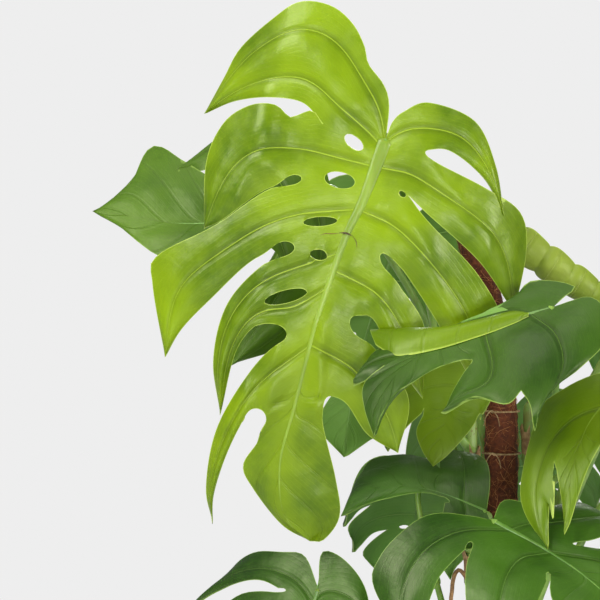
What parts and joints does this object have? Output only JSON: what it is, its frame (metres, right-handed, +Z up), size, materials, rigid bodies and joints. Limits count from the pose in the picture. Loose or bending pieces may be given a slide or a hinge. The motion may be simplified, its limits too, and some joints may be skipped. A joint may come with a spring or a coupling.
{
  "type": "potted monstera plant",
  "caption": "Potted monstera with split and holed leaves on long stalks, climbing a coir pole in a round grower's pot of soil.",
  "frame": {"origin": "centre of the pot's underside", "axes": "+Z up along the coir pole, -Y towards the front, where the large leaf faces"},
  "size_m": [1.0239, 0.7599, 1.2762],
  "materials": {
    "pot_plastic": "satin",
    "compost": "matte",
    "coir": "matte",
    "bark_brown": "matte",
    "stem_green": "satin",
    "stalk_green": "satin",
    "deep_leaf": "satin",
    "mid_leaf": "satin",
    "young_leaf": "satin"
  },
  "bodies": {
    "root": {"pot": "pot_plastic", "soil": "compost", "coir_pole": "coir", "stem_1": "stem_green", "stem_2": "stem_green", "stem_3": "stem_green", "leaf_1": "young_leaf", "leaf_1_stalk": "stalk_green", "leaf_2": "mid_leaf", "leaf_2_stalk": "stalk_green", "leaf_3": "deep_leaf", "leaf_3_stalk": "stalk_green", "leaf_5": "young_leaf", "leaf_5_stalk": "stalk_green", "leaf_6": "deep_leaf", "leaf_6_stalk": "stalk_green", "leaf_7": "deep_leaf", "leaf_7_stalk": "stalk_green", "leaf_8": "deep_leaf", "leaf_8_stalk": "stalk_green", "leaf_9": "young_leaf", "leaf_9_stalk": "stalk_green", "leaf_10": "mid_leaf", "leaf_10_stalk": "stalk_green", "leaf_11": "deep_leaf", "leaf_11_stalk": "stalk_green", "leaf_12": "deep_leaf", "leaf_12_stalk": "stalk_green", "leaf_13": "mid_leaf", "leaf_13_stalk": "stalk_green", "leaf_14": "deep_leaf", "leaf_14_stalk": "stalk_green", "leaf_15": "deep_leaf", "leaf_15_stalk": "stalk_green", "leaf_16": "deep_leaf", "leaf_16_stalk": "stalk_green", "leaf_17": "deep_leaf", "leaf_17_stalk": "stalk_green", "leaf_18": "deep_leaf", "leaf_18_stalk": "stalk_green", "pole_tie_1": "bark_brown", "pole_tie_2": "bark_brown", "pole_tie_3": "bark_brown", "air_root_1": "bark_brown", "air_root_2": "bark_brown", "air_root_3": "bark_brown", "rolled_leaf": "young_leaf", "rolled_leaf_stalk": "stalk_green"}
  },
  "joints": []
}
